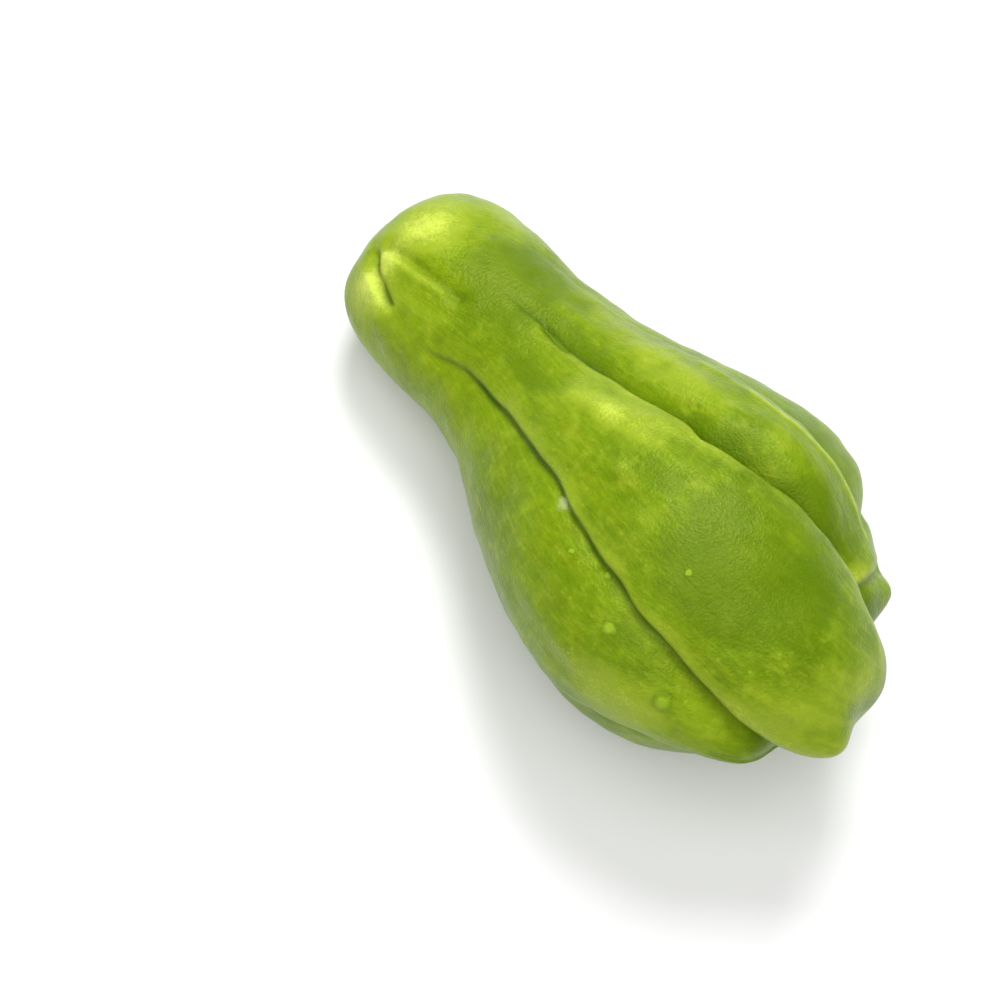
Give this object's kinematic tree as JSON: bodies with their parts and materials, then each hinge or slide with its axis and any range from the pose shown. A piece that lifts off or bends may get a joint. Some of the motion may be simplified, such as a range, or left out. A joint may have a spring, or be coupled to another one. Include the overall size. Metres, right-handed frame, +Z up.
{
  "type": "chayote squash",
  "caption": "Whole pear-shaped chayote squash lying on its side, with a slim neck, deep lengthwise furrows and a puckered blossom end.",
  "frame": {"origin": "on the surface that the fruit rests on, under the middle of its box", "axes": "+X along the fruit from the stem end to the blossom end, +Y across it, +Z up"},
  "size_m": [0.1598, 0.0854, 0.0727],
  "materials": {
    "chayote_skin": "waxy yellow-green skin with fine pores, half glossy"
  },
  "bodies": {
    "root": {"chayote": "chayote_skin"}
  },
  "joints": []
}
